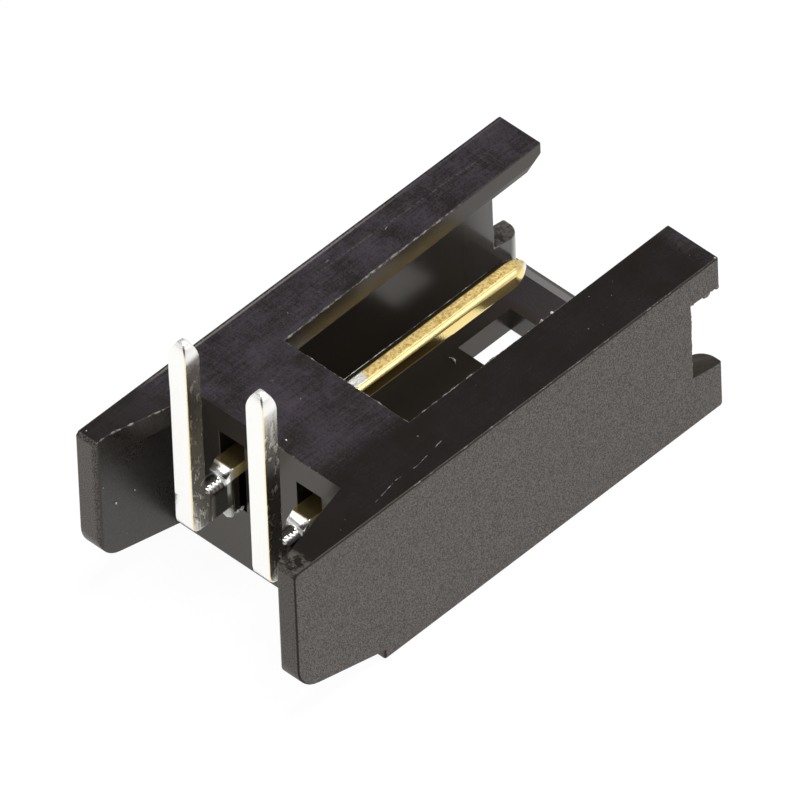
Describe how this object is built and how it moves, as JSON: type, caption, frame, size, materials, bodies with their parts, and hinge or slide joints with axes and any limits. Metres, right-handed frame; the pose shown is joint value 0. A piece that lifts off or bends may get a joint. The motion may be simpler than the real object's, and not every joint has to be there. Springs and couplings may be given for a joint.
{
  "type": "right-angle pin header",
  "caption": "Shrouded right-angle pin header: black housing with an open window, a latch window and side wings, and bent contacts whose tails turn up to be soldered.",
  "frame": {"origin": "on the surface that the header lies on, under the middle of its whole box", "axes": "+X along the row of contacts, +Y out of the mating mouth, +Z the way the solder tails point"},
  "size_m": [0.0072, 0.0144, 0.0084],
  "materials": {
    "housing_plastic": "black moulded plastic with a fine matte grain",
    "contact_plating": "gold plating on the post, bright tin plating on the shank and the tail"
  },
  "bodies": {
    "root": {"housing": "housing_plastic", "contact_1": "contact_plating", "contact_2": "contact_plating"}
  },
  "joints": []
}
